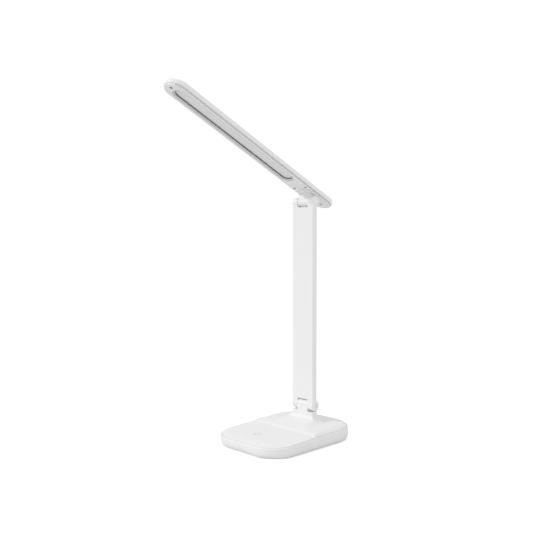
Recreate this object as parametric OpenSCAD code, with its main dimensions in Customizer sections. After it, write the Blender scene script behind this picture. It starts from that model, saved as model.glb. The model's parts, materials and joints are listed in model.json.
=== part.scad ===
// Folding desk lamp: a wedge base with a hinge pedestal, a flat forked arm,
// a tilting bracket with a turntable, and a long slim light head.
// +Z is up, the front of the lamp faces -Y, and the hinge axes lie along X.
// The origin is at the centre of the base, on the surface that it stands on.

/* [Base] */
// Width of the base
base_w = 97; // [92:1:104]
// Length of the base, front to back
base_l = 128; // [126:1:136]
// Radius of the base's corners in plan
base_corner_r = 29; // [24:1:29]
// Height of the parting line at the front edge
seam_front_z = 10.5; // [10:0.1:11]
// Slope of the parting line, rising to the back
wedge_angle = 2.3; // [2:0.1:2.5]
// Dip of the parting line where the hump begins
seam_dip = 0.65; // [0.3:0.05:0.8]
// Rise of the touch surface from its edge to its middle
crown_rise = 1.6; // [1:0.1:2]
// Height of the step across the base
ridge_rise = 2.2; // [1.6:0.1:2.6]
// Rise of the hump from the step to the pedestal
hump_rise = 2.4; // [1.8:0.1:2.8]
// Height of the flare round the pedestal's foot
flare_rise = 2.9; // [2.4:0.1:3.4]

/* [Lower hinge] */
// Distance of the lower axis behind the base's middle
hinge_y = 32; // [30:0.5:33]
// Height of the lower axis
hinge_z = 33.8; // [33:0.1:36]
// Radius of the hinge barrels
barrel_r = 5.8; // [5.6:0.1:6.2]
// Half the width of a knuckle between the arm's ears
knuckle_half_w = 7.3; // [6.8:0.05:7.35]
// Half the width of the slots in the arm
slot_half_w = 7.45; // [7.45:0.05:7.6]

/* [Arm] */
// Distance between the arm's two axes
arm_l = 220; // [200:1:240]
// Width of the arm
arm_w = 30; // [29:0.5:32]
// Distance of the arm's front face ahead of the axes
arm_front = 5.2; // [5:0.1:5.6]
// Distance of the arm's back face behind the axes
arm_back = 1.8; // [1.6:0.1:2.4]
// Thickness of the arm's moulded walls
arm_wall = 1.6; // [1.4:0.1:1.8]

/* [Head] */
// Angle of the head over the horizontal
head_angle = 24.7; // [0:0.1:60]
// Width of the head
head_w = 26.8; // [26:0.2:30]
// Thickness of the head
head_t = 7.2; // [7:0.1:8]
// Reach of the head ahead of the swivel
head_front = 207.5; // [190:0.5:215]
// Reach of the head behind the swivel
head_rear = 34; // [30:0.5:38]
// Distance of the head's underside from the upper axis
head_drop = 9.4; // [9.2:0.1:10]
// Half the width of the light window
window_half_w = 6.7; // [6:0.1:7]
// Radius of the turntable under the head
turntable_r = 11.6; // [11:0.1:12]

/* [Light] */
// Number of light-emitting diodes in the row
led_count = 24; // [12:1:30]

/* [Hidden] */
$fn = 64;
eps = 0.01;

// ---- colours
white = [0.95, 0.95, 0.94];
inner_white = [0.9, 0.9, 0.89];
steel = [0.72, 0.73, 0.74];
zinc = [0.6, 0.61, 0.62];
grey_rubber = [0.55, 0.55, 0.54];
board_green = [0.13, 0.38, 0.24];
cell_silver = [0.66, 0.68, 0.7];
wire_grey = [0.35, 0.35, 0.36];
milk = [0.93, 0.93, 0.9];
led_cream = [0.95, 0.87, 0.55];

// ---- derived sizes of the base
half_w = base_w / 2;
half_l = base_l / 2;
seam_inset = 1.3;
foot_z = 0.2;
floor_z = 3;
tray_curve_w = 3.6;
tray_curve_h = 5.7;
tray_wall = 3.2;
edge_rise = 0.3;
edge_span = 0.6;
crown_span = 16;
side_span = 7;
side_span_front = 3;
side_blend = 14;
sink_share = 0.4;
sink_start = 20;
sink_span = 28;
pedestal_half_w = arm_w / 2;
pedestal_depth = 5.5;
pedestal_rear_r = 5.4;
shoulder_z = hinge_z - barrel_r - 0.7;
ridge_start = -6;
ridge_span = 7;
hump_start = -1;
hump_run = 23;
hump_half_w = 16;
hump_fade = 11;
hump_rear = 25;
hump_rear_span = 13;
flare_side = 7;
flare_front = 4.2;
flare_rear = 6;
flare_power = 2.4;
hump_ceiling_z = 14;
hollow_depth = 0.9;
hollow_x = 24;
hollow_inner = 8;
hollow_outer = 11;
hollow_front = 12;
hollow_rear = 36;
hollow_ends = 11;

// ---- derived sizes of the hinges and the arm
upper_z = hinge_z + arm_l;
pin_r = 1.98;
pin_bore_r = 2.0;
knuckle_bore_r = 2.04;
upper_knuckle_r = 5.1;
slot_end = 6.8;
slot_gap = 0.5;
arm_edge_r = 0.8;
ear_edge_r = 0.8;
washer_r = 4.1;
washer_recess = 0.4;
washer_gap = 0.35;
cap_depth = 1;
cap_r = 5;
recess_r = 2;
recess_depth = 1;
cover_t = 1.5;
cover_end = 13;

// ---- derived sizes of the head
window_front = 195.5;
window_rear = 32;
bevel_w = 2.2;
bevel_t = 0.9;
cover_gap = 0.35;
cover_half_w = 11.5;
cover_thin = 1.6;
cover_thick = 2.5;
ceiling_t = 1.4;
stem_r = 5;
stem_clearance = 0.06;
screw_spots = [[0, -201.3], [8, -14.5], [-8, -14.5], [0, 23.3]];

// ---- forms that follow a rule
function clamp01(t) = min(max(t, 0), 1);
function smooth(t) = let (u = clamp01(t)) u * u * (3 - 2 * u);
function ease_out(t) = let (u = clamp01(t)) 1 - (1 - u) * (1 - u);

// Height of the parting line, which rises to the back and dips at the step
function seam_z(y) =
    seam_front_z + (y + half_l) * tan(wedge_angle) - seam_dip * smooth((y - ridge_start) / ridge_span);

// Distance inwards from the parting line's outline
function inward(x, y) =
    let (r = base_corner_r - seam_inset,
         dx = abs(x) - (half_w - base_corner_r),
         dy = abs(y) - (half_l - base_corner_r))
    dx > 0 && dy > 0 ? r - sqrt(dx * dx + dy * dy) : r - max(dx, dy);

// Height of the step over the touch surface: its sides are rounded, more so to the rear,
// and it sinks a little behind the pedestal
function step_rise(x, y) =
    ridge_rise * ease_out((y - ridge_start) / ridge_span)
    * (1 - sink_share * smooth((y - sink_start) / sink_span))
    * ease_out(inward(x, y) / (side_span_front + (side_span - side_span_front) * smooth(y / side_blend)));

// Slope behind the step, which rises to the pedestal and narrows to its width
function hump_slope(x, y) =
    hump_rise * clamp01((y - hump_start) / hump_run) * (1 - smooth((abs(x) - hump_half_w) / hump_fade))
    * (1 - smooth((y - hump_rear) / hump_rear_span));

// Shallow hollow in the shell on both sides of the pedestal
function hollow(x, y) =
    hollow_depth
    * smooth((abs(x) - hollow_x) / hollow_inner + 1) * (1 - smooth((abs(x) - hollow_x) / hollow_outer))
    * smooth((y - hollow_front) / hollow_ends) * (1 - smooth((y - hollow_rear) / hollow_ends));

// Mitred flare from the hump up to the pedestal's walls
function flare(x, y) =
    let (side = (abs(x) - pedestal_half_w) / flare_side,
         front = (hinge_y - pedestal_depth - y) / flare_front,
         rear = (y - hinge_y - pedestal_depth) / flare_rear,
         t = clamp01(max(side, front, rear)))
    flare_rise * pow(1 - t, flare_power);

function top_z(x, y) =
    let (e = max(inward(x, y), 0))
    seam_z(y) + edge_rise * ease_out(e / edge_span) + crown_rise * ease_out(e / crown_span)
    + step_rise(x, y) + hump_slope(x, y) - hollow(x, y) + flare(x, y);

// Stations along the straight sides, closer together at the ridge and at the pedestal
mid_rows = concat(
    [for (y = [-25:9:-16]) y],
    [for (k = [0:5]) ridge_start + 1.5 * k],
    [for (y = [4:4.5:17.5]) y],
    [for (k = [0:3]) hinge_y - pedestal_depth - flare_front * (1 - k / 3)],
    [hinge_y - 1]);
corner_steps = 9;
row_count = 2 * (corner_steps + 1) + len(mid_rows);

// Point i along the right half of the outline, front to back, moved inwards by d
function rim_point(i, d) =
    let (r = base_corner_r - d,
         cx = half_w - base_corner_r,
         cy = half_l - base_corner_r,
         k = i - corner_steps - 1 - len(mid_rows),
         a = i <= corner_steps ? 90 - 90 * i / corner_steps : 90 * k / corner_steps)
    i <= corner_steps ? [cx + r * cos(a), -cy - r * sin(a)]
    : k < 0 ? [half_w - d, mid_rows[i - corner_steps - 1]]
    : [cx + r * cos(a), cy + r * sin(a)];

// Fractions of a row's half width, closer together at the flare and at the edge
col_half = concat(
    [for (k = [0:1]) pedestal_half_w * k / 2],
    [for (k = [0:4]) pedestal_half_w + flare_side * pow(k / 4, 1.2)],
    [for (k = [1:7])
        pedestal_half_w + flare_side
        + (half_w - seam_inset - pedestal_half_w - flare_side) * (1 - pow(1 - k / 7, 1.7))]);
col_last = len(col_half) - 1;
col_count = 2 * col_last + 1;
function col_fraction(j) =
    sign(j - col_last) * col_half[abs(j - col_last)] / (half_w - seam_inset);

// Flat strips from side to side that close a solid along the parting line
function strip_faces(left, right, up) = [
    for (i = [0:len(left) - 2])
        up ? [left[i], left[i + 1], right[i + 1], right[i]]
           : [left[i], right[i], right[i + 1], left[i + 1]]];

// ---- shapes that repeat
module rounded_rect(w, l, r) {
    square([w - 2 * r, l], center = true);
    square([w, l - 2 * r], center = true);
    for (x = [-1, 1], y = [-1, 1])
        translate([x * (w / 2 - r), y * (l / 2 - r)]) circle(r);
}

// A bar along X between x0 and x1
module x_rod(x0, x1, r) {
    translate([x0, 0, 0]) rotate([0, 90, 0]) cylinder(h = x1 - x0, r = r);
}

// A barrel along X whose outer end has a rounded edge
module x_barrel(x0, x1, r, edge) {
    translate([x0, 0, 0]) rotate([0, 90, 0]) rotate_extrude() {
        square([r, x1 - x0 - edge]);
        square([r - edge, x1 - x0]);
        translate([r - edge, x1 - x0 - edge]) circle(edge);
    }
}

// Sweeps a half profile round a stadium that lies between y0 and y1 with end radius r
module stadium_sweep(y0, y1, r) {
    for (s = [0, 1])
        translate([0, s == 0 ? y0 + r : y1 - r, 0])
            rotate([0, 0, s == 0 ? 180 : 0]) rotate_extrude(angle = 180) children();
    for (m = [0, 1])
        mirror([m, 0, 0]) translate([0, y1 - r, 0]) rotate([90, 0, 0])
            linear_extrude(height = y1 - y0 - 2 * r) children();
}

// Puts the head's own frame on the upper axis: -Y to its tip, +Z away from its underside
module at_head() {
    translate([0, hinge_y, upper_z]) rotate([-head_angle, 0, 0]) children();
}

module at_lower_axis() {
    translate([0, hinge_y, hinge_z]) children();
}

module at_upper_axis() {
    translate([0, hinge_y, upper_z]) children();
}

base_screw_spots = [[33, -42], [-33, -42], [34, 46], [-34, 46]];
mat_w = 78;
mat_l = 112;
mat_corner_r = 18;
mat_t = 1.5;
post_r = 3;
post_z = 6;

// ---- base
module base_top_surface() {
    points = concat(
        [for (i = [0:row_count - 1], j = [0:col_count - 1])
            let (p = rim_point(i, seam_inset), x = p[0] * col_fraction(j))
            [x, p[1], j == 0 || j == col_count - 1 || i == 0 || i == row_count - 1
                ? seam_z(p[1]) : top_z(x, p[1])]]);
    function at(i, j) = i * col_count + j;
    skin = [for (i = [0:row_count - 2], j = [0:col_count - 2])
        let (a = at(i, j), b = at(i, j + 1), c = at(i + 1, j), d = at(i + 1, j + 1))
        each (i < row_count / 2) == (j < col_last)
            ? [[a, c, d], [a, d, b]] : [[a, c, b], [b, c, d]]];
    under = concat(
        [concat([at(1, col_count - 1), at(1, 0)], [for (j = [0:col_count - 1]) at(0, j)])],
        strip_faces([for (i = [1:row_count - 2]) at(i, 0)],
                    [for (i = [1:row_count - 2]) at(i, col_count - 1)], false),
        [concat([at(row_count - 2, 0), at(row_count - 2, col_count - 1)],
                [for (j = [col_count - 1:-1:0]) at(row_count - 1, j)])]);
    polyhedron(points, concat(skin, under), convexity = 4);
}

// Section of the pedestal's knuckle: a round top over a flat front and a flat back
module knuckle_section() {
    difference() {
        union() {
            intersection() {
                circle(barrel_r);
                square(2 * pedestal_depth, center = true);
            }
            translate([-pedestal_depth, -barrel_r - 2]) square([2 * pedestal_depth, barrel_r + 2]);
        }
        circle(knuckle_bore_r);
    }
}

// Plan of the pedestal: a flat front and well rounded rear corners
module pedestal_outline() {
    front_r = 0.8;
    for (m = [0, 1]) mirror([m, 0]) {
        translate([0, -pedestal_depth]) square([pedestal_half_w - front_r, front_r]);
        translate([pedestal_half_w - front_r, front_r - pedestal_depth]) circle(front_r);
        translate([0, front_r - pedestal_depth])
            square([pedestal_half_w, 2 * pedestal_depth - front_r - pedestal_rear_r]);
        square([pedestal_half_w - pedestal_rear_r, pedestal_depth]);
        translate([pedestal_half_w - pedestal_rear_r, pedestal_depth - pedestal_rear_r])
            circle(pedestal_rear_r);
    }
}

module base_top_shell() {
    color(white) difference() {
        union() {
            difference() {
                base_top_surface();
                translate([0, 31, 5]) linear_extrude(height = hump_ceiling_z - 5)
                    rounded_rect(72, 50, 12);
            }
            for (p = base_screw_spots)
                translate([p[0], p[1], post_z]) cylinder(h = hump_ceiling_z - 1.5 - post_z, r = post_r);
            for (p = base_screw_spots) if (p[1] > 0)
                translate([p[0], p[1], post_z]) cylinder(h = hump_ceiling_z + 0.5 - post_z, r = post_r);
            translate([0, hinge_y, hump_ceiling_z + 2])
                linear_extrude(height = shoulder_z - hump_ceiling_z - 2) pedestal_outline();
            at_lower_axis() rotate([90, 0, 90])
                linear_extrude(height = 2 * knuckle_half_w, center = true) knuckle_section();
        }
        at_lower_axis() washer_recesses();
        for (p = base_screw_spots)
            translate([p[0], p[1], post_z - 1]) cylinder(h = 5.5, r = 1.5);
    }
}

// Insets and heights of the tray's rings: bottom edge, wall, and the rounded rim at the seam
tray_steps = 5;
tray_rings = concat(
    [for (k = [0:tray_steps])
        let (a = 90 * k / tray_steps)
        [tray_curve_w * (1 - sin(a)), foot_z + tray_curve_h * (1 - cos(a)), 0]],
    [for (k = [0:tray_steps])
        let (a = 90 * k / tray_steps)
        [seam_inset * (1 - cos(a)), seam_inset * (sin(a) - 1), 1]]);

module tray_outside() {
    ring_size = 2 * row_count;
    last = len(tray_rings) - 1;
    points = [for (t = tray_rings, i = [0:ring_size - 1])
        let (left = i >= row_count,
             p = rim_point(left ? ring_size - 1 - i : i, t[0]),
             seam_p = rim_point(left ? ring_size - 1 - i : i, seam_inset))
        [left ? -p[0] : p[0], p[1], t[1] + t[2] * seam_z(seam_p[1])]];
    function at(k, i) = k * ring_size + i % ring_size;
    walls = [for (k = [0:last - 1], i = [0:ring_size - 1], h = [0, 1])
        h == 0 ? [at(k, i), at(k + 1, i + 1), at(k, i + 1)]
               : [at(k, i), at(k + 1, i), at(k + 1, i + 1)]];
    bottom = [[for (i = [0:ring_size - 1]) at(0, i)]];
    rim = strip_faces([for (i = [0:row_count - 1]) at(last, ring_size - 1 - i)],
                      [for (i = [0:row_count - 1]) at(last, i)], true);
    polyhedron(points, concat(walls, bottom, rim), convexity = 4);
}

board_spots = [[26, 43], [-26, 43], [26, 55], [-26, 55]];
board_z = 5;

module socket_outline(grow) {
    half = 4.47 - 1.6;
    rotate([90, 0, 0]) linear_extrude(height = 12, center = true) {
        square([2 * half, 2 * (1.6 + grow)], center = true);
        for (x = [-half, half]) translate([x, 0]) circle(1.6 + grow);
    }
}

socket_z = board_z + 1.6 + 1.65;

module base_bottom_shell() {
    color(white) difference() {
        union() {
            difference() {
                tray_outside();
                translate([0, 0, floor_z]) linear_extrude(height = 20)
                    rounded_rect(base_w - 2 * tray_wall, base_l - 2 * tray_wall, base_corner_r - tray_wall);
            }
            for (p = base_screw_spots)
                translate([p[0], p[1], floor_z - 1]) cylinder(h = post_z - floor_z + 1, r = 4.2);
            for (p = board_spots)
                translate([p[0], p[1], floor_z - 1]) cylinder(h = board_z - floor_z + 1, r = 2.2);
        }
        for (p = base_screw_spots) translate([p[0], p[1], 0]) {
            cylinder(h = 3.4, r = 3);
            cylinder(h = 10, r = 1.6);
        }
        for (p = board_spots) translate([p[0], p[1], floor_z]) cylinder(h = 5, r = 0.85);
        linear_extrude(height = mat_t) rounded_rect(mat_w + 0.4, mat_l + 0.4, mat_corner_r + 0.2);
        translate([0, half_l, socket_z]) socket_outline(0.15);
    }
}

// One soft sheet covers the screws and carries the lamp
module base_foot_mat() {
    color(grey_rubber) linear_extrude(height = mat_t) rounded_rect(mat_w, mat_l, mat_corner_r);
}

module base_screws() {
    color(steel) for (p = base_screw_spots) translate([p[0], p[1], 1.6]) {
        difference() {
            cylinder(h = 1.8, r = 2.8);
            translate([0, 0, -0.1]) cylinder(h = 1, r = 1.3, $fn = 6);
        }
        cylinder(h = 8.2, r = 1.45);
    }
}

module ballast_plate() {
    color(zinc) translate([0, -28, floor_z]) linear_extrude(height = 5.5) difference() {
        rounded_rect(58, 56, 10);
        for (x = [-30, 30]) translate([x, -14]) circle(7);
    }
}

module battery_pack() {
    color(cell_silver) translate([0, 20, floor_z]) {
        translate([0, 0, 3.9]) rotate([90, 0, 0]) linear_extrude(height = 34, center = true)
            rounded_rect(60, 7.8, 2.5);
        translate([0, 17, 3.9]) rotate([90, 0, 0]) linear_extrude(height = 2, center = true)
            rounded_rect(56, 5, 1);
    }
}

module control_board() {
    color(board_green) translate([0, 49, board_z]) difference() {
        union() {
            linear_extrude(height = 1.6) rounded_rect(60, 20, 2);
            translate([16, 0, 1.6 - eps]) linear_extrude(height = 3) square([7, 7], center = true);
            translate([-15, -3, 1.6 - eps]) linear_extrude(height = 1.6) square([9, 6], center = true);
            translate([-14, 5, 1.6 - eps]) cylinder(h = 4, r = 2.6);
        }
        for (p = board_spots) translate([p[0], p[1] - 49, -1]) cylinder(h = 4, r = 1.1);
    }
}

module board_screws() {
    color(steel) for (p = board_spots) translate([p[0], p[1], board_z + 1.6]) {
        cylinder(h = 1.1, r = 1.9);
        translate([0, 0, -3.2]) cylinder(h = 3.3, r = 0.8);
    }
}

module charging_socket() {
    color(steel) translate([0, 0, socket_z]) difference() {
        translate([0, 59.3, 0]) rotate([90, 0, 0]) linear_extrude(height = 7.4, center = true) {
            square([5.74, 3.2], center = true);
            for (x = [-2.87, 2.87]) translate([x, 0]) circle(1.6);
        }
        translate([0, 60.4, 0]) rotate([90, 0, 0]) linear_extrude(height = 6.4, center = true)
            difference() {
                union() {
                    square([5.74, 2.56], center = true);
                    for (x = [-2.87, 2.87]) translate([x, 0]) circle(1.28);
                }
                square([6.2, 0.7], center = true);
            }
    }
    color(steel) for (x = [-3.4, 3.4])
        translate([x - 0.4, 57, board_z + 1.6]) cube([0.8, 2, 1.2]);
}

// The sensor film is glued to the slope of the shell's underside
module touch_sensor() {
    color(board_green) translate([0, -36, seam_z(-36)]) rotate([wedge_angle, 0, 0])
        translate([0, 0, -0.5]) linear_extrude(height = 0.5) rounded_rect(34, 26, 3);
}

// ---- lower hinge
module lower_hinge_pin() {
    color(steel) at_lower_axis() {
        x_rod(-arm_w / 2 + 1.3, arm_w / 2 - recess_depth - 1.1, pin_r);
    }
}

// Two washers, each let into a side of the knuckle
module hinge_washers() {
    for (m = [0, 1]) mirror([m, 0, 0]) difference() {
        x_rod(knuckle_half_w - washer_recess + 0.05, slot_half_w - 0.05, washer_r);
        x_rod(knuckle_half_w - 2, slot_half_w + 1, pin_bore_r + 0.05);
    }
}

module washer_recesses() {
    for (m = [0, 1]) mirror([m, 0, 0])
        x_rod(knuckle_half_w - washer_recess, knuckle_half_w + 1, washer_r + washer_gap);
}

module lower_hinge_washers() {
    color(steel) at_lower_axis() hinge_washers();
}

// ---- arm
module arm_section() {
    translate([0, (arm_back - arm_front) / 2])
        rounded_rect(arm_w, arm_front + arm_back, arm_edge_r);
}

module ears(z) {
    translate([0, 0, z]) for (m = [0, 1]) mirror([m, 0, 0])
        x_barrel(slot_half_w, arm_w / 2, barrel_r, ear_edge_r);
}

cavity_end = 14;
arm_screw_spots = [[0, 34], [0, arm_l / 2], [0, arm_l - 34]];

module arm_front_shell() {
    color(white) at_lower_axis() difference() {
        union() {
            linear_extrude(height = arm_l) arm_section();
            ears(0);
            ears(arm_l);
        }
        // slots for the two knuckles
        translate([-slot_half_w, -10, -10]) cube([2 * slot_half_w, 20, 10 + slot_end]);
        translate([-slot_half_w, -10, arm_l - upper_knuckle_r - slot_gap])
            cube([2 * slot_half_w, 20, 20]);
        // hollow for the stiffener and the cable, and the rebate for the back cover
        translate([-arm_w / 2 + arm_wall, -arm_front + arm_wall, cavity_end])
            cube([arm_w - 2 * arm_wall, 20, arm_l - 2 * cavity_end]);
        translate([-arm_w / 2 + arm_wall - 0.7, arm_back - cover_t, cover_end])
            cube([arm_w - 2 * arm_wall + 1.4, 20, arm_l - 2 * cover_end]);
        // bores for the pins, the lower ear's recess and the seats for the upper caps
        x_rod(-arm_w, arm_w / 2 - recess_depth - 1, pin_bore_r);
        x_rod(arm_w / 2 - recess_depth, arm_w, recess_r);
        translate([0, 0, arm_l]) {
            x_rod(-arm_w / 2 + cap_depth, arm_w / 2 - cap_depth, pin_bore_r);
            for (m = [0, 1]) mirror([m, 0, 0])
                x_rod(arm_w / 2 - cap_depth, arm_w, cap_r + 0.1);
        }
    }
}

module arm_back_cover() {
    lip = 0.15;
    color(white) at_lower_axis() difference() {
        union() {
            translate([-arm_w / 2 + arm_wall - 0.7 + lip, arm_back - cover_t, cover_end + lip])
                cube([arm_w - 2 * arm_wall + 1.4 - 2 * lip, cover_t, arm_l - 2 * cover_end - 2 * lip]);
            for (p = arm_screw_spots) translate([p[0] + 6, -1.9, p[1]]) rotate([-90, 0, 0])
                cylinder(h = arm_back + 1, r = 2.6);
        }
        for (p = arm_screw_spots) translate([p[0] + 6, arm_back, p[1]]) rotate([90, 0, 0]) {
            translate([0, 0, -1]) cylinder(h = 2, r = 2);
            cylinder(h = 10, r = 0.9);
        }
    }
}

module arm_cover_screws() {
    color(steel) at_lower_axis() for (p = arm_screw_spots)
        translate([p[0] + 6, arm_back - 0.3, p[1]]) rotate([90, 0, 0]) {
            difference() {
                cylinder(h = 0.7, r = 1.9);
                translate([0, 0, -0.1]) cylinder(h = 0.4, r = 0.9, $fn = 6);
            }
            cylinder(h = 3.6, r = 0.8);
        }
}

module arm_stiffener() {
    color(zinc) at_lower_axis() translate([-6, -arm_front + arm_wall, cavity_end + 4]) difference() {
        cube([18, 1.2, arm_l - 2 * cavity_end - 8]);
        for (p = arm_screw_spots)
            translate([12, -1, p[1] - cavity_end - 4]) rotate([-90, 0, 0]) cylinder(h = 4, r = 1.2);
    }
}

module arm_cable() {
    color(wire_grey) at_lower_axis() for (k = [0:3])
        translate([-11.4 + 1.3 * k, -arm_front + arm_wall + 0.65, cavity_end + 1])
            cylinder(h = arm_l - 2 * cavity_end - 2, r = 0.65, $fn = 24);
}

// ---- upper hinge
module upper_hinge_pin() {
    color(steel) at_upper_axis()
        x_rod(-arm_w / 2 + cap_depth + 0.1, arm_w / 2 - cap_depth - 0.1, pin_r);
}

module upper_hinge_washers() {
    color(steel) at_upper_axis() hinge_washers();
}

module upper_hinge_caps() {
    color(white) at_upper_axis() for (m = [0, 1]) mirror([m, 0, 0])
        x_barrel(arm_w / 2 - cap_depth, arm_w / 2 - 0.1, cap_r, 0.3);
}

neck_half_t = 4.6;
turntable_t = 1;
turntable_gap = 0.08;
stem_top = head_drop + cover_thin + 1.9;

module head_bracket() {
    color(white) at_head() difference() {
        union() {
            x_rod(-knuckle_half_w, knuckle_half_w, upper_knuckle_r);
            translate([-knuckle_half_w, -neck_half_t, 0])
                cube([2 * knuckle_half_w, 2 * neck_half_t, head_drop - turntable_gap - 0.2]);
            translate([0, 0, head_drop - turntable_gap - turntable_t])
                cylinder(h = turntable_t, r = turntable_r);
            translate([0, 0, head_drop - 1]) cylinder(h = stem_top - head_drop + 1, r = stem_r);
        }
        x_rod(-knuckle_half_w - 1, knuckle_half_w + 1, knuckle_bore_r);
        washer_recesses();
        translate([0, 0, 4.5]) cylinder(h = 20, r = 2.6);
    }
}

module swivel_washer() {
    color(steel) at_head() translate([0, 0, head_drop + cover_thin + 0.05]) difference() {
        cylinder(h = 0.5, r = 7.6);
        translate([0, 0, -1]) cylinder(h = 3, r = stem_r + 0.05);
    }
}

module swivel_retainer() {
    color(zinc) at_head() translate([0, 0, head_drop + cover_thin + 0.55]) difference() {
        cylinder(h = 1.2, r = 7);
        translate([0, 0, -1]) cylinder(h = 4, r = stem_r);
    }
}

// ---- head
// Half profile of the head's outside, with its lower and upper edges rounded
module head_profile(half, low_r, high_r) {
    square([half - high_r, head_t]);
    translate([0, low_r]) square([half, head_t - low_r - high_r]);
    square([half - low_r, head_t / 2]);
    translate([half - low_r, low_r]) circle(low_r);
    translate([half - high_r, head_t - high_r]) circle(high_r);
}

module head_solid() {
    translate([0, 0, head_drop]) stadium_sweep(-head_front, head_rear, head_w / 2)
        intersection() {
            head_profile(head_w / 2, 2, 3);
            square([head_w, head_t]);
        }
}

module stadium_cut(half, inset, z0, z1) {
    translate([0, 0, z0]) stadium_sweep(-head_front + inset, head_rear - inset, half)
        square([half, z1 - z0]);
}

module head_top_housing() {
    cover_z = head_drop + cover_thin;
    color(white) at_head() difference() {
        union() {
            difference() {
                head_solid();
                stadium_cut(cover_half_w + cover_gap, head_w / 2 - cover_half_w - cover_gap,
                            head_drop - 1, cover_z);
                stadium_cut(cover_half_w - 1, head_w / 2 - cover_half_w + 1,
                            cover_z - eps, head_drop + head_t - ceiling_t);
            }
            for (p = screw_spots) translate([p[0], p[1], head_drop + cover_thick])
                cylinder(h = head_t - cover_thick - 0.7, r = 2.2);
        }
        for (p = screw_spots) translate([p[0], p[1], head_drop]) cylinder(h = 5.2, r = 0.85);
    }
}

module head_bottom_cover() {
    edge = 0.8;
    color(white) at_head() difference() {
        translate([0, 0, head_drop]) union() {
            stadium_sweep(-head_front + head_w / 2 - cover_half_w, head_rear - head_w / 2 + cover_half_w,
                          cover_half_w) {
                translate([0, edge]) square([cover_half_w, cover_thin - edge]);
                square([cover_half_w - edge, cover_thin]);
                intersection() {
                    translate([cover_half_w - edge, edge]) circle(edge);
                    square([cover_half_w, cover_thin]);
                }
            }
            stadium_sweep(-window_front - 1.6, -window_rear + 1.6, window_half_w + 1.6)
                square([window_half_w + 1.6, cover_thick]);
            for (p = screw_spots) translate([p[0], p[1], 0.5]) cylinder(h = cover_thick - 0.5, r = 2.6);
        }
        translate([0, 0, head_drop]) {
            stadium_sweep(-window_front, -window_rear, window_half_w)
                translate([0, -1]) square([window_half_w, 6]);
            stadium_sweep(-window_front - bevel_w, -window_rear + bevel_w, window_half_w + bevel_w)
                polygon([[0, -eps], [window_half_w + bevel_w, -eps], [window_half_w, bevel_t], [0, bevel_t]]);
            for (p = screw_spots) translate([p[0], p[1], -1]) {
                cylinder(h = 2.6, r = 1.6);
                cylinder(h = 8, r = 0.95);
            }
            translate([0, 0, -1]) cylinder(h = 8, r = stem_r + stem_clearance);
        }
    }
}

module head_screws() {
    color(steel) at_head() for (p = screw_spots) translate([p[0], p[1], head_drop + 0.8]) {
        difference() {
            cylinder(h = 0.8, r = 1.5);
            translate([0, 0, -0.1]) cylinder(h = 0.5, r = 0.8, $fn = 6);
        }
        cylinder(h = 4, r = 0.8);
    }
}

module diffuser() {
    color(milk) at_head() translate([0, 0, head_drop + cover_thick])
        stadium_sweep(-window_front - 1.5, -window_rear + 1.5, window_half_w + 1.5)
            square([window_half_w + 1.5, 1]);
}

led_z = head_drop + head_t - ceiling_t - 0.8;
led_pitch = (window_front - window_rear - 14) / (led_count - 1);

module led_board() {
    color(inner_white) at_head() translate([-5.5, -window_front + 1, led_z])
        cube([11, window_front - window_rear - 2, 0.8]);
}

module leds() {
    color(led_cream) at_head() for (k = [0:led_count - 1])
        translate([-1.4, -window_front + 7 + led_pitch * k - 1.75, led_z - 0.75]) cube([2.8, 3.5, 0.75]);
}

base_top_shell();
base_bottom_shell();
base_foot_mat();
base_screws();
ballast_plate();
battery_pack();
control_board();
board_screws();
charging_socket();
touch_sensor();
lower_hinge_pin();
lower_hinge_washers();
arm_front_shell();
arm_back_cover();
arm_stiffener();
arm_cable();
arm_cover_screws();
upper_hinge_pin();
upper_hinge_washers();
upper_hinge_caps();
head_bracket();
swivel_washer();
swivel_retainer();
head_top_housing();
head_bottom_cover();
head_screws();
diffuser();
led_board();
leds();
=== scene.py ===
"""A folding desk lamp: the finishes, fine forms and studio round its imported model."""
import json
import math

import bmesh
import bpy
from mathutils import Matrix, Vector

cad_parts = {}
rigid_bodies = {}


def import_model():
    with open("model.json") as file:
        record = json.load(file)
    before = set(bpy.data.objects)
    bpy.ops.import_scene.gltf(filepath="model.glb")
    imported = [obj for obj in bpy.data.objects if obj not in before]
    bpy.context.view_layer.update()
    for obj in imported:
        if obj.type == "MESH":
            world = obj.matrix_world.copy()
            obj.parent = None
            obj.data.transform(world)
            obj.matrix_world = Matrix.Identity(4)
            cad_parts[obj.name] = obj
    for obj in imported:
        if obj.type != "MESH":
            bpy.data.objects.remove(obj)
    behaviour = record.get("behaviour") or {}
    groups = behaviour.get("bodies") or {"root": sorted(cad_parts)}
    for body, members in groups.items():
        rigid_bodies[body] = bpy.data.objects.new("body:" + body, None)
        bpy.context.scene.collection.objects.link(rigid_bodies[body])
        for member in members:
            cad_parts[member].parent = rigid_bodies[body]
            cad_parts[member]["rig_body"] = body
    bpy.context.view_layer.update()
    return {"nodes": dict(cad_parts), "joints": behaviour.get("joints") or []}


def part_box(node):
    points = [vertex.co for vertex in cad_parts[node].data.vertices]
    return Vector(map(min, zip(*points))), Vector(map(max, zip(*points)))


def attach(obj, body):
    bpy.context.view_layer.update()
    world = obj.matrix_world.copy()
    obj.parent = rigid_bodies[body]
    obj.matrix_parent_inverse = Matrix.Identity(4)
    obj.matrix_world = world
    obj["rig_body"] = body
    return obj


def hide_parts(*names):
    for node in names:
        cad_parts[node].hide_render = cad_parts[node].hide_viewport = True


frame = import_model()
nodes = frame["nodes"]

MM = 0.001
WHITE = (1, 1, 1, 1)

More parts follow.
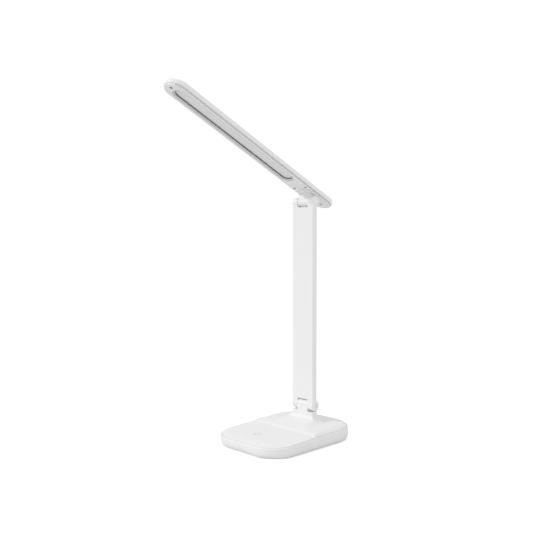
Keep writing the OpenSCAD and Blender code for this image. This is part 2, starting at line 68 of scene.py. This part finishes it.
# ---- the photograph's camera, solved from the lamp's edges, in metres
CAMERA_AT = Vector((0.4897, -0.5055, 0.1995))
CAMERA_TURN = math.radians(45.693)
CAMERA_PITCH = math.radians(1.232)
CAMERA_NEAR = 0.01
LENS_MM = 45.07
SENSOR_MM = 36

# ---- studio: an even white room with a brighter backdrop, a key light from the camera's left, and a
# weak, wide light from its right that softens the shaded sides
ROOM_LIGHT = 0.77
BACKDROP_LIGHT = 1.05
KEY_FROM = Vector((-0.477, -0.666, 0.574))
KEY_STRENGTH = 0.97
KEY_SPREAD = math.radians(6)
SIDE_FROM = Vector((0.93, -0.1, 0.35))
SIDE_STRENGTH = 0.25
SIDE_SPREAD = math.radians(60)
FLOOR_SIZE = 12
FLOOR_COLOUR = "e2e2e2"
FLOOR_ROUGH = 0.9
FLOOR_LIFT = 0.47

# ---- grain of the finishes: its noise, how far it moves the gloss, and the slow clouds of colour
GRAIN_DETAIL, GRAIN_ROUGHNESS = 3.0, 0.6
GLOSS_SPREAD = 0.08
BUMP_STRENGTH = 0.6
CLOUD_MM, CLOUD_DETAIL = 30, 2.0

# ---- forms of the base, in millimetres, as its packed shells have them; its front is at negative y
BASE_HALF_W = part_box("base_bottom_shell")[1].x / MM
BASE_HALF_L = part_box("base_bottom_shell")[1].y / MM
FOOT_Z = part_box("base_bottom_shell")[0].z / MM
CORNER_R = 29
CORNER_X, CORNER_Y = BASE_HALF_W - CORNER_R, BASE_HALF_L - CORNER_R
SEAM_INSET = 1.3
SEAM_FRONT_Z = 10.5
WEDGE_SLOPE = math.tan(math.radians(2.3))
SEAM_DIP = 0.65
EDGE_RISE, EDGE_SPAN = 0.3, 0.6
CROWN_RISE, CROWN_SPAN = 1.6, 16
RIDGE_START, RIDGE_SPAN, RIDGE_RISE = -6, 7, 2.2
SINK_START, SINK_SPAN, SINK_SHARE = 20, 28, 0.4
SIDE_SPAN_FRONT, SIDE_SPAN, SIDE_BLEND = 3, 7, 14
HUMP_START, HUMP_RUN, HUMP_RISE = -1, 23, 2.4
HUMP_HALF_W, HUMP_FADE = 16, 11
HUMP_REAR, HUMP_REAR_SPAN = 25, 13
HOLLOW_DEPTH, HOLLOW_X, HOLLOW_INNER, HOLLOW_OUTER = 0.9, 24, 8, 11
HOLLOW_FRONT, HOLLOW_REAR, HOLLOW_ENDS = 12, 36, 11
FLARE_SIDE, FLARE_FRONT, FLARE_REAR, FLARE_RISE, FLARE_POWER = 7, 4.2, 6, 2.9, 2.4
PEDESTAL_HALF_W, PEDESTAL_DEPTH = 15, 5.5
HINGE_Y = frame["joints"][0]["pos_m"][1] / MM
TRAY_CURVE_W, TRAY_CURVE_H = 3.6, 5.7

# The parting line's groove, which only the fine shells have, and a grey ribbon in it that paints the
# groove's shade
GROOVE_HALF_W, GROOVE_DEPTH = 0.2, 0.3
SEAM_PAINTED_SHADE, SEAM_PAINTED_SHADE_PROUD = 0.34, 0.03
OUTLINE_CORNER_STEPS, OUTLINE_LONGEST = 24, 4

# ---- the touch mark in millimetres: a plain open ring, and a short stroke in its gap whose places are
# shares of the ring's radius
MARK_AT = (-2.4, -37.4)
MARK_R = 3.9
MARK_GAP = math.radians(38)
MARK_LINE = 0.75
MARK_THICK = MARK_LINE / 2
MARK_PROUD = 0.03
MARK_STEPS = 48
STROKE_START, STROKE_STEP, STROKE_POINTS = 0.35, 0.2, 5

# ---- forms of the head in millimetres, in its own frame: it starts at the tilt axis, whose place in
# the lamp is (y, z), its y runs back along the head and its z runs up from the light's side
HEAD_AXIS = (32, 253.8)
HEAD_TILT = math.radians(-24.7)
HEAD_LOW = 9.4
HEAD_FRONT, HEAD_REAR, HEAD_HALF_W = 207.5, 34, 13.4
RIM_INNER, RIM_LOW_R, RIM_BACK = 11.85, 2, 1.5
COVER_HALF_W, COVER_T, COVER_EDGE = 11.5, 1.6, 0.8
COVER_FULL_HALF_W, COVER_CRISP = 12.2, 0.5
WINDOW_HALF_W, WINDOW_FRONT, WINDOW_REAR = 6.7, -195.5, -32
BEVEL_W, BEVEL_T = 2.2, 0.9
# The next two lines size grey ribbons of painted shade: on the window's inner wall, and in the gap between
# the head's shells.
WALL_SHADE_T, WALL_SHADE_LOW, WALL_SHADE_HIGH = 0.24, HEAD_LOW + 1.2, HEAD_LOW + 2.5
GAP_SHADE_T, GAP_SHADE_LOW, GAP_SHADE_HIGH = 0.1, HEAD_LOW + 0.2, HEAD_LOW + 1.4
GAP_SHADE_END, GAP_SHADE_SUNK = math.radians(50), 0.02
ROUND_END_STEPS, GAP_SHADE_END_STEPS = 24, 8

# The y of the centres of the round ends, front and rear, of the head and of its window
HEAD_LINE = (-HEAD_FRONT + HEAD_HALF_W, HEAD_REAR - HEAD_HALF_W)
WINDOW_LINE = (WINDOW_FRONT + WINDOW_HALF_W, WINDOW_REAR - WINDOW_HALF_W)

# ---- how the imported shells' facets are merged, picked and divided; lengths in millimetres
MERGE_WITHIN = 0.002
SHARP_ANGLE = math.radians(32)
TOP_CUTS, TRAY_CUTS, HEAD_CUTS = 6, 5, 0
DECK_LEAST_UP, DECK_WITHIN = 0.1, 1
WALL_WITHIN, WALL_ABOVE_FOOT = 0.3, 0.05
RIM_PLAY_UP, RIM_PLAY_IN = 0.01, 0.05
COVER_PLAY = 0.02
BEVEL_LEAST_SHARE, BEVEL_PLAY = 0.2, 0.1


# ---- small helpers
def linear(hex_code):
    """An sRGB colour such as "dcdcda" as linear RGBA."""
    parts = [int(hex_code[k:k + 2], 16) / 255 for k in (0, 2, 4)]
    return [c / 12.92 if c <= 0.04045 else ((c + 0.055) / 1.055) ** 2.4 for c in parts] + [1.0]


def add(tree, kind, inputs=None, **settings):
    """Adds a node. An input is linked where it is given a socket, and set where it is given a value."""
    node = tree.nodes.new(kind)
    for name, value in settings.items():
        setattr(node, name, value)
    for name, value in (inputs or {}).items():
        if isinstance(value, bpy.types.NodeSocket):
            tree.links.new(value, node.inputs[name])
        else:
            node.inputs[name].default_value = value
    return node


def clamp01(t):
    return min(max(t, 0), 1)


def smooth(t):
    u = clamp01(t)
    return u * u * (3 - 2 * u)


def ease_out(t):
    return 1 - (1 - clamp01(t)) ** 2


# ---- finishes
def material(name, hex_code, rough, grain, metallic=0.0, tint=0.02, stretch=(1, 1, 1), **sockets):
    """A finish with its own grain, given as its size and depth in millimetres.

    Bump and roughness vary at the grain's size, and the colour in slow clouds by the share tint.
    """
    made = bpy.data.materials.new(name)
    made.use_nodes = True
    tree = made.node_tree
    tree.nodes.clear()
    grain_mm, depth_mm = grain
    at = add(tree, "ShaderNodeTexCoord").outputs["Object"]
    along = add(tree, "ShaderNodeMapping", {"Vector": at, "Scale": stretch}).outputs["Vector"]
    noise = add(tree, "ShaderNodeTexNoise", {
        "Vector": along, "Scale": 1 / (grain_mm * MM),
        "Detail": GRAIN_DETAIL, "Roughness": GRAIN_ROUGHNESS})
    cloud = add(tree, "ShaderNodeTexNoise", {
        "Vector": at, "Scale": 1 / (CLOUD_MM * MM), "Detail": CLOUD_DETAIL})
    base = linear(hex_code)
    shade = add(tree, "ShaderNodeMix", {
        "Factor": cloud.outputs["Fac"],
        "A": [c * (1 - tint) for c in base[:3]] + [1.0],
        "B": [min(c * (1 + tint), 1) for c in base[:3]] + [1.0]}, data_type="RGBA")
    gloss = add(tree, "ShaderNodeMapRange", {
        "Value": noise.outputs["Fac"],
        "To Min": rough * (1 - GLOSS_SPREAD), "To Max": min(rough * (1 + GLOSS_SPREAD), 1)})
    bump = add(tree, "ShaderNodeBump", {
        "Height": noise.outputs["Fac"], "Distance": depth_mm * MM, "Strength": BUMP_STRENGTH})
    shader = add(tree, "ShaderNodeBsdfPrincipled", {
        "Base Color": shade.outputs["Result"], "Roughness": gloss.outputs["Result"],
        "Normal": bump.outputs["Normal"], "Metallic": metallic, **sockets})
    add(tree, "ShaderNodeOutputMaterial", {"Surface": shader.outputs["BSDF"]})
    return made


# Moulded ABS with a fine spark-eroded grain: a soft satin white.
white_abs = material("moulded_abs_white", "efefef", 0.38, (0.5, 0.003), tint=0.004, IOR=1.5)
# Moulded silicone: matt, darker than the shells.
silicone = material("moulded_silicone_grey", "b4b4b2", 0.75, (0.8, 0.01))
# Zinc-plated steel: bright, lightly dulled by tumbling.
zinc_steel = material("zinc_plated_steel", "b9bbbd", 0.32, (0.4, 0.003), metallic=1.0)
# Black-oxide steel of the head's small screws: they read as dark dots in their holes.
black_steel = material("black_oxide_steel", "1c1c1d", 0.38, (0.3, 0.002), metallic=0.9)
# Ground steel of the pins and washers: bright, with fine lines round the pins.
ground_steel = material("ground_steel", "c2c4c6", 0.28, (0.3, 0.002), metallic=1.0, stretch=(8, 1, 1))
# Hot rolled steel strip: dull, with its rolling lines along the strip.
rolled_steel = material("rolled_steel_strip", "9b9da0", 0.5, (1.2, 0.01), metallic=1.0, stretch=(1, 1, 0.05))
# Sand-cast iron: dark and rough.
cast_iron = material("cast_iron_raw", "55565a", 0.72, (1.5, 0.08), metallic=0.8)
# Aluminium laminate pouch of the cell: silvery, with soft wrinkles.
pouch_foil = material("pouch_foil_aluminium", "b5b8bb", 0.4, (6, 0.05), metallic=1.0)
# Solder mask over glass fibre cloth: green and half glossy.
solder_mask = material("solder_mask_green", "1f6b43", 0.38, (0.6, 0.01))
# Polyimide film of the touch sensor: amber and smooth.
polyimide = material("polyimide_film", "8a6a2a", 0.45, (2, 0.005))
# Soft PVC insulation of the leads: dark, with a low sheen.
pvc_dark = material("pvc_insulation_dark", "3b3c3e", 0.55, (1, 0.01))
# Opal acrylic over the light row, unlit: a milky sheet with a low gloss.
opal_acrylic = material("opal_acrylic", "ececec", 0.5, (2, 0.0005), tint=0.004, IOR=1.49)
# Solder mask on the aluminium board: a plain satin white.
white_mask = material("white_solder_mask", "e6e7e4", 0.4, (0.6, 0.005))
# Phosphor gel over each diode: yellow and smooth.
phosphor = material("phosphor_gel", "d9c25a", 0.35, (0.5, 0.004))
# Painted shade of the parting line: a plain mid grey for the ribbon in the groove, standing in for the shade
# deep in the gap.
seam_shade_paint = material("painted_seam_shade_grey", "9c9c9c", 0.5, (0.5, 0.003))
# Painted shade of the gap between the head's two shells: a light grey for the thin ribbon in it.
gap_shade_paint = material("painted_gap_shade_grey", "cccccc", 0.5, (0.5, 0.003))
# The window's bevel: ABS matter than the shells and with a deeper grain, in a light grey that is painted
# shade of the recess round the window.
bevel_matt_and_shade = material("moulded_abs_matt_painted_shade", "d2d2d2", 0.6, (0.4, 0.006), tint=0.004)
# Painted shade of the light window's inner wall: a mid grey, dull ribbon standing in for the deep shade
# there.
wall_shade_paint = material("painted_wall_shade_grey", "838383", 0.9, (0.4, 0.02))
# Pad-printed ink of the touch mark: a flat light grey.
printed_ink = material("pad_printed_ink_grey", "c6c6c6", 0.5, (0.3, 0.001))

FINISH = {
    "base_top_shell": white_abs, "base_bottom_shell": white_abs, "base_foot_mat": silicone,
    "base_screws": zinc_steel, "ballast_plate": cast_iron, "battery_pack": pouch_foil,
    "control_board": solder_mask, "board_screws": zinc_steel, "charging_socket": ground_steel,
    "touch_sensor": polyimide,
    "lower_hinge_pin": ground_steel, "lower_hinge_washers": ground_steel,
    "arm_front_shell": white_abs, "arm_back_cover": white_abs, "arm_stiffener": rolled_steel,
    "arm_cable": pvc_dark, "arm_cover_screws": zinc_steel,
    "upper_hinge_pin": ground_steel, "upper_hinge_washers": ground_steel, "upper_hinge_caps": white_abs,
    "head_bracket": white_abs, "swivel_washer": ground_steel, "swivel_retainer": rolled_steel,
    "head_top_housing": white_abs, "head_bottom_cover": white_abs, "head_screws": black_steel,
    "diffuser": opal_acrylic, "led_board": white_mask, "leds": phosphor,
}
for name, finish in FINISH.items():
    for material_slot in nodes[name].material_slots:
        material_slot.material = finish


# ---- forms of the base: most take a place in plan and give a height, in millimetres
def seam_z(y):
    """Height of the parting line, which rises to the back and dips at the step."""
    return SEAM_FRONT_Z + (y + BASE_HALF_L) * WEDGE_SLOPE - SEAM_DIP * smooth((y - RIDGE_START) / RIDGE_SPAN)


def inset_at(x, y):
    """Distance inwards from the base's outline."""
    dx, dy = abs(x) - CORNER_X, abs(y) - CORNER_Y
    return CORNER_R - (math.hypot(dx, dy) if dx > 0 and dy > 0 else max(dx, dy))


def step_rise(x, y, edge):
    """The step across the base, which fades out at the sides and sinks towards the back."""
    side_span = SIDE_SPAN_FRONT + (SIDE_SPAN - SIDE_SPAN_FRONT) * smooth(y / SIDE_BLEND)
    return (RIDGE_RISE * ease_out((y - RIDGE_START) / RIDGE_SPAN)
            * (1 - SINK_SHARE * smooth((y - SINK_START) / SINK_SPAN)) * ease_out(edge / side_span))


def hump_slope(x, y):
    """The slope that rises to the pedestal and fades out beside and behind it."""
    return (HUMP_RISE * clamp01((y - HUMP_START) / HUMP_RUN)
            * (1 - smooth((abs(x) - HUMP_HALF_W) / HUMP_FADE))
            * (1 - smooth((y - HUMP_REAR) / HUMP_REAR_SPAN)))


def hollow(x, y):
    """Depth of the shallow hollow at each side of the pedestal."""
    off = abs(x) - HOLLOW_X
    return (HOLLOW_DEPTH * smooth(off / HOLLOW_INNER + 1) * (1 - smooth(off / HOLLOW_OUTER))
            * smooth((y - HOLLOW_FRONT) / HOLLOW_ENDS) * (1 - smooth((y - HOLLOW_REAR) / HOLLOW_ENDS)))


def flare(x, y):
    """The flares that sweep up to the pedestal's walls and meet in mitres."""
    side = (abs(x) - PEDESTAL_HALF_W) / FLARE_SIDE
    front = (HINGE_Y - PEDESTAL_DEPTH - y) / FLARE_FRONT
    rear = (y - HINGE_Y - PEDESTAL_DEPTH) / FLARE_REAR
    return FLARE_RISE * (1 - clamp01(max(side, front, rear))) ** FLARE_POWER


def groove(edge):
    """Depth of the parting line's groove at a distance from the line."""
    return GROOVE_DEPTH * clamp01(1 - abs(edge) / GROOVE_HALF_W)


def top_z(x, y):
    """Height of the top shell: its edge and crown over the parting line, and the forms on them."""
    edge = max(inset_at(x, y) - SEAM_INSET, 0)
    return (seam_z(y) + EDGE_RISE * ease_out(edge / EDGE_SPAN) + CROWN_RISE * ease_out(edge / CROWN_SPAN)
            + step_rise(x, y, edge) + hump_slope(x, y) - hollow(x, y) + flare(x, y))


def wall_inset(above_foot, below_seam):
    """Inset of the tray's wall: a rounded foot, an upright middle and a rounded rim."""
    if above_foot < TRAY_CURVE_H:
        return TRAY_CURVE_W * (1 - math.sqrt(1 - (1 - clamp01(above_foot / TRAY_CURVE_H)) ** 2))
    if below_seam < SEAM_INSET:
        up_the_rim = SEAM_INSET - clamp01(below_seam / SEAM_INSET) * SEAM_INSET
        return SEAM_INSET - math.sqrt(SEAM_INSET ** 2 - up_the_rim ** 2)
    return 0


# ---- places in the head's own frame, and distances from a long centre line in it
def at_head(x, y, z):
    """The place in the lamp of a place in the head's own frame."""
    cos, sin = math.cos(HEAD_TILT), math.sin(HEAD_TILT)
    return Vector((x, HEAD_AXIS[0] + cos * y - sin * z, HEAD_AXIS[1] + sin * y + cos * z))


def in_head(at):
    """The inverse of at_head."""
    cos, sin = math.cos(HEAD_TILT), math.sin(HEAD_TILT)
    y, z = at.y - HEAD_AXIS[0], at.z - HEAD_AXIS[1]
    return Vector((at.x, cos * y + sin * z, -sin * y + cos * z))


def nearest_on(line, y):
    """The y on a centre line, given as its two ends, that is nearest to a y."""
    return min(max(y, line[0]), line[1])


def reach_from(line, at):
    """Distance in plan from a centre line."""
    return math.hypot(at.x, at.y - nearest_on(line, at.y))


# ---- fine shells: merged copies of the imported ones, with their facets laid on the true forms
def fine_copy(node_name, piece_name, cuts, is_form_face, settle):
    """Divides the faces that lie on a form, settles their points on it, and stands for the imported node."""
    source = nodes[node_name].data
    mesh = bpy.data.meshes.new(piece_name)
    mesh.from_pydata([v.co / MM for v in source.vertices], [], [p.vertices[:] for p in source.polygons])
    work = bmesh.new()
    work.from_mesh(mesh)
    bmesh.ops.remove_doubles(work, verts=work.verts, dist=MERGE_WITHIN)
    work.normal_update()
    # The division renews the points, so the faces carry the choice in their material index.
    for face in work.faces:
        face.material_index = int(is_form_face(face))
    edges = list({edge for face in work.faces if face.material_index for edge in face.edges})
    if cuts:
        bmesh.ops.subdivide_edges(work, edges=edges, cuts=cuts, use_grid_fill=True)
    for vert in {vert for face in work.faces if face.material_index for vert in face.verts}:
        vert.co = settle(vert.co)
    for face in work.faces:
        face.material_index = 0
    bmesh.ops.scale(work, vec=(MM, MM, MM), verts=work.verts)
    work.to_mesh(mesh)
    work.free()
    mesh.polygons.foreach_set("use_smooth", [True] * len(mesh.polygons))
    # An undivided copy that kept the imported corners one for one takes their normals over.
    if not cuts and len(mesh.loops) == len(source.loops):
        mesh.normals_split_custom_set([corner.vector[:] for corner in source.corner_normals])
    else:
        mesh.set_sharp_from_angle(angle=SHARP_ANGLE)
    mesh.materials.append(FINISH[node_name])
    piece = bpy.data.objects.new(piece_name, mesh)
    bpy.context.scene.collection.objects.link(piece)
    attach(piece, nodes[node_name]["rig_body"])
    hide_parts(node_name)
    return piece


def base_top():
    """The base's top shell, down to the groove at its edge."""
    def on_deck(face):
        centre = face.calc_center_median()
        return face.normal.z > DECK_LEAST_UP and abs(centre.z - top_z(centre.x, centre.y)) < DECK_WITHIN

    def settle(at):
        edge = inset_at(at.x, at.y) - SEAM_INSET
        return Vector((at.x, at.y, top_z(at.x, at.y) - groove(edge)))

    fine_copy("base_top_shell", "base_top_fine", TOP_CUTS, on_deck, settle)


def base_tray():
    """The base's tray, up to the groove at its rim."""
    def heights(at):
        return at.z - FOOT_Z, seam_z(at.y) - at.z

    def on_wall(face):
        return all(
            abs(inset_at(vert.co.x, vert.co.y) - wall_inset(*heights(vert.co))) < WALL_WITHIN
            for vert in face.verts
        ) and face.calc_center_median().z > FOOT_Z + WALL_ABOVE_FOOT

    def settle(at):
        wanted = wall_inset(*heights(at))
        pull = inset_at(at.x, at.y) - wanted
        outward = Vector((
            max(abs(at.x) - CORNER_X, 0) * math.copysign(1, at.x),
            max(abs(at.y) - CORNER_Y, 0) * math.copysign(1, at.y), 0)).normalized()
        settled = at + outward * pull
        settled.z -= groove(SEAM_INSET - wanted)
        return settled

    fine_copy("base_bottom_shell", "base_tray_fine", TRAY_CUTS, on_wall, settle)


def head_top():
    """The upper housing, with its lower rim set back behind the cover's face."""
    def on_rim(face):
        return all(at_rim(in_head(vert.co)) for vert in face.verts)

    def at_rim(at):
        return (at.z < HEAD_LOW + RIM_LOW_R + RIM_PLAY_UP
                and reach_from(HEAD_LINE, at) > RIM_INNER - RIM_PLAY_IN)

    def settle(at):
        own = in_head(at)
        depth = (own.z - HEAD_LOW) / RIM_LOW_R
        own.z = HEAD_LOW + RIM_BACK + (RIM_LOW_R - RIM_BACK) * depth
        return at_head(*own)

    fine_copy("head_top_housing", "head_top_fine", HEAD_CUTS, on_rim, settle)


def head_cover():
    """The lower cover, with a crisper outer edge that is grown out, and a matt bevel round the window,
    greyed as painted shade.
    """
    def on_edge(face):
        return all(at_edge(in_head(vert.co)) for vert in face.verts)

    def at_edge(at):
        return (at.z < HEAD_LOW + COVER_T + COVER_PLAY
                and reach_from(HEAD_LINE, at) > COVER_HALF_W - COVER_EDGE - COVER_PLAY)

    def settle(at):
        own = in_head(at)
        reach = reach_from(HEAD_LINE, own)
        grown = COVER_FULL_HALF_W - (COVER_HALF_W - reach) * COVER_CRISP
        own += Vector((own.x, own.y - nearest_on(HEAD_LINE, own.y), 0)).normalized() * (grown - reach)
        if own.z < HEAD_LOW + COVER_EDGE:
            own.z = HEAD_LOW + (own.z - HEAD_LOW) * COVER_CRISP
        return at_head(*own)

    cover = fine_copy("head_bottom_cover", "head_cover_fine", HEAD_CUTS, on_edge, settle)
    cover.data.materials.append(bevel_matt_and_shade)
    # The bevel's sloping faces take the greyer finish: painted shade of the window's recess.
    for face in cover.data.polygons:
        corners = [in_head(cover.data.vertices[k].co / MM) for k in face.vertices]
        low = min(at.z for at in corners)
        high = max(at.z for at in corners)
        furthest = max(reach_from(WINDOW_LINE, at) for at in corners)
        slopes = high - low > BEVEL_LEAST_SHARE * BEVEL_T
        is_low = high < HEAD_LOW + BEVEL_T + BEVEL_PLAY
        is_near = furthest < WINDOW_HALF_W + BEVEL_W + BEVEL_PLAY
        if slopes and is_low and is_near:
            face.material_index = 1


# ---- lines that follow a path: a ribbon swept along the edges of a mesh
def ribbon_tree():
    """Sweeps a level rectangle along a path, with its width, height and finish as inputs."""
    tree = bpy.data.node_groups.new("ribbon_on_path", "GeometryNodeTree")
    for label, kind in (("Path", "NodeSocketGeometry"), ("Width", "NodeSocketFloat"),
                        ("Height", "NodeSocketFloat"), ("Finish", "NodeSocketMaterial")):
        tree.interface.new_socket(label, in_out="INPUT", socket_type=kind)
    tree.interface.new_socket("Ribbon", in_out="OUTPUT", socket_type="NodeSocketGeometry")
    given = add(tree, "NodeGroupInput").outputs
    line = add(tree, "GeometryNodeMeshToCurve", {"Mesh": given["Path"]})
    level = add(tree, "GeometryNodeSetCurveNormal", {"Curve": line.outputs["Curve"]}, mode="Z_UP")
    section = add(tree, "GeometryNodeCurvePrimitiveQuadrilateral", {
        "Width": given["Width"], "Height": given["Height"]})
    swept = add(tree, "GeometryNodeCurveToMesh", {
        "Curve": level.outputs["Curve"], "Profile Curve": section.outputs["Curve"], "Fill Caps": True})
    real = add(tree, "GeometryNodeRealizeInstances", {"Geometry": swept.outputs["Mesh"]})
    finished = add(tree, "GeometryNodeSetMaterial", {
        "Geometry": real.outputs["Geometry"], "Material": given["Finish"]})
    add(tree, "NodeGroupOutput", {"Ribbon": finished.outputs["Geometry"]})
    return tree


ribbons = ribbon_tree()


def ribbon(name, paths, width_mm, height_mm, finish, body):
    """A flat line on the given paths, each a list of points in millimetres."""
    points, edges = [], []
    for path in paths:
        first = len(points)
        points += [Vector(at) * MM for at in path]
        edges += [(first + k, first + k + 1) for k in range(len(path) - 1)]
    guide = bpy.data.meshes.new(name + "_path")
    guide.from_pydata(points, edges, [])
    holder = bpy.data.objects.new(name + "_path", guide)
    bpy.context.scene.collection.objects.link(holder)
    modifier = holder.modifiers.new("ribbon", "NODES")
    modifier.node_group = ribbons
    values = {"Width": width_mm * MM, "Height": height_mm * MM, "Finish": finish}
    for socket in ribbons.interface.items_tree:
        if socket.in_out == "INPUT" and socket.name in values:
            modifier[socket.identifier] = values[socket.name]
    bpy.context.view_layer.update()
    evaluated = holder.evaluated_get(bpy.context.evaluated_depsgraph_get())
    mesh = bpy.data.meshes.new_from_object(evaluated)
    bpy.data.objects.remove(holder)
    piece = bpy.data.objects.new(name, mesh)
    bpy.context.scene.collection.objects.link(piece)
    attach(piece, body)


def divided(points, longest):
    """The same path with no stretch longer than a given length."""
    path = [points[0]]
    for last, point in zip(points, points[1:]):
        parts = max(math.ceil(math.dist(last, point) / longest), 1)
        path += [tuple(a + (b - a) * k / parts for a, b in zip(last, point)) for k in range(1, parts + 1)]
    return path


def rounded_outline(inset):
    """The base's outline in plan at an inset, as a closed path."""
    radius = CORNER_R - inset
    points = []
    for quarter, (side_x, side_y) in enumerate([(1, 1), (-1, 1), (-1, -1), (1, -1)]):
        for k in range(OUTLINE_CORNER_STEPS + 1):
            turn = math.pi / 2 * (quarter + k / OUTLINE_CORNER_STEPS)
            points.append((side_x * CORNER_X + radius * math.cos(turn),
                           side_y * CORNER_Y + radius * math.sin(turn)))
    return divided(points + points[:1], OUTLINE_LONGEST)


def round_end(half_w, y):
    """A half circle round the rear end of a centre line, from its right side to its left."""
    turns = [math.pi * k / ROUND_END_STEPS for k in range(ROUND_END_STEPS + 1)]
    return [(half_w * math.cos(turn), y + half_w * math.sin(turn)) for turn in turns]


def touch_mark():
    """The open ring and its stroke, laid on the touch surface."""
    def on_base(x, y):
        return (x, y, top_z(x, y) + MARK_PROUD - MARK_THICK / 2)

    x0, y0 = MARK_AT
    whole = 2 * math.pi - 2 * MARK_GAP
    turns = [math.pi / 2 + MARK_GAP + whole * k / MARK_STEPS for k in range(MARK_STEPS + 1)]
    ring = [on_base(x0 + MARK_R * math.cos(turn), y0 + MARK_R * math.sin(turn)) for turn in turns]
    stroke = [on_base(x0, y0 + MARK_R * (STROKE_START + STROKE_STEP * k)) for k in range(STROKE_POINTS)]
    ribbon("touch_mark", [ring, stroke], MARK_LINE, MARK_THICK, printed_ink, "base")


def seam_painted_shade():
    """A grey ribbon in the parting line, all round the base: painted shade of the groove."""
    path = [(x, y, seam_z(y) - SEAM_PAINTED_SHADE / 2 + SEAM_PAINTED_SHADE_PROUD) for x, y in rounded_outline(SEAM_INSET)]
    ribbon("base_seam_painted_shade", [path], SEAM_PAINTED_SHADE, SEAM_PAINTED_SHADE, seam_shade_paint, "base")


def cover_painted_shade():
    """A light grey ribbon between the head's two shells, along the sides and round the rear end: painted
    shade of the gap.
    """
    half_w = COVER_FULL_HALF_W + GAP_SHADE_T / 2 - GAP_SHADE_SUNK
    front, rear = HEAD_LINE
    turns = [GAP_SHADE_END * (k / GAP_SHADE_END_STEPS - 1) for k in range(GAP_SHADE_END_STEPS + 1)]
    right = [(half_w * math.cos(turn), front + half_w * math.sin(turn)) for turn in turns]
    left = [(-x, y) for x, y in reversed(right)]
    middle = (GAP_SHADE_LOW + GAP_SHADE_HIGH) / 2
    path = [at_head(x, y, middle) for x, y in right + round_end(half_w, rear) + left]
    ribbon("head_cover_painted_shade", [path], GAP_SHADE_T, GAP_SHADE_HIGH - GAP_SHADE_LOW, gap_shade_paint, "head")


def window_painted_shade():
    """A mid grey ribbon all round the window's inner wall: painted shade of the recess."""
    front, rear = WINDOW_LINE
    points = round_end(WINDOW_HALF_W - WALL_SHADE_T / 2, rear)
    points += [(-x, front - (y - rear)) for x, y in points]
    middle = (WALL_SHADE_LOW + WALL_SHADE_HIGH) / 2
    path = [at_head(x, y, middle) for x, y in points + points[:1]]
    ribbon("window_wall_shade_paint", [path], WALL_SHADE_T, WALL_SHADE_HIGH - WALL_SHADE_LOW, wall_shade_paint, "head")


base_top()
base_tray()
touch_mark()
head_top()
head_cover()
seam_painted_shade()
cover_painted_shade()
window_painted_shade()


# ---- studio: the room and the floor look brighter to the camera than they light the lamp
def far_light(name, source, strength, spread):
    """A light far off in the direction of its source; its spread is how wide it looks from here."""
    lamp = bpy.data.objects.new(name, bpy.data.lights.new(name, "SUN"))
    lamp.data.energy = strength
    lamp.data.angle = spread
    lamp.rotation_euler = (-source).to_track_quat("-Z", "Y").to_euler()
    bpy.context.scene.collection.objects.link(lamp)


def floor():
    """A wide sheet of white paper under the lamp."""
    bpy.ops.mesh.primitive_plane_add(size=FLOOR_SIZE, location=(0, 0, 0))
    plane = bpy.context.object
    plane.name = "studio_floor"
    paper = bpy.data.materials.new("floor_paper_white")
    paper.use_nodes = True
    tree = paper.node_tree
    shader = tree.nodes["Principled BSDF"]
    shader.inputs["Base Color"].default_value = linear(FLOOR_COLOUR)
    shader.inputs["Roughness"].default_value = FLOOR_ROUGH
    shader.inputs["Emission Color"].default_value = WHITE
    seen = add(tree, "ShaderNodeLightPath").outputs["Is Camera Ray"]
    lift = add(tree, "ShaderNodeMath", {0: seen, 1: FLOOR_LIFT}, operation="MULTIPLY")
    tree.links.new(lift.outputs["Value"], shader.inputs["Emission Strength"])
    plane.data.materials.append(paper)


def room():
    """The even light of the room, and the backdrop that the camera sees."""
    world = bpy.data.worlds.new("studio_room")
    world.use_nodes = True
    tree = world.node_tree
    seen = add(tree, "ShaderNodeLightPath").outputs["Is Camera Ray"]
    level = add(tree, "ShaderNodeMapRange", {
        "Value": seen, "To Min": ROOM_LIGHT, "To Max": BACKDROP_LIGHT})
    background = tree.nodes["Background"]
    background.inputs["Color"].default_value = WHITE
    tree.links.new(level.outputs["Result"], background.inputs["Strength"])
    bpy.context.scene.world = world


def camera():
    """The photograph's camera, turned left from straight ahead and a little down."""
    made = bpy.data.objects.new("photo_camera", bpy.data.cameras.new("photo_camera"))
    made.location = CAMERA_AT
    look = Vector((
        -math.sin(CAMERA_TURN) * math.cos(CAMERA_PITCH),
        math.cos(CAMERA_TURN) * math.cos(CAMERA_PITCH),
        -math.sin(CAMERA_PITCH)))
    made.rotation_euler = look.to_track_quat("-Z", "Y").to_euler()
    made.data.sensor_width = SENSOR_MM
    made.data.lens = LENS_MM
    made.data.clip_start = CAMERA_NEAR
    bpy.context.scene.collection.objects.link(made)
    bpy.context.scene.camera = made


floor()
room()
far_light("key_light", KEY_FROM, KEY_STRENGTH, KEY_SPREAD)
far_light("side_fill", SIDE_FROM, SIDE_STRENGTH, SIDE_SPREAD)
camera()
bpy.context.scene.view_settings.view_transform = "Standard"
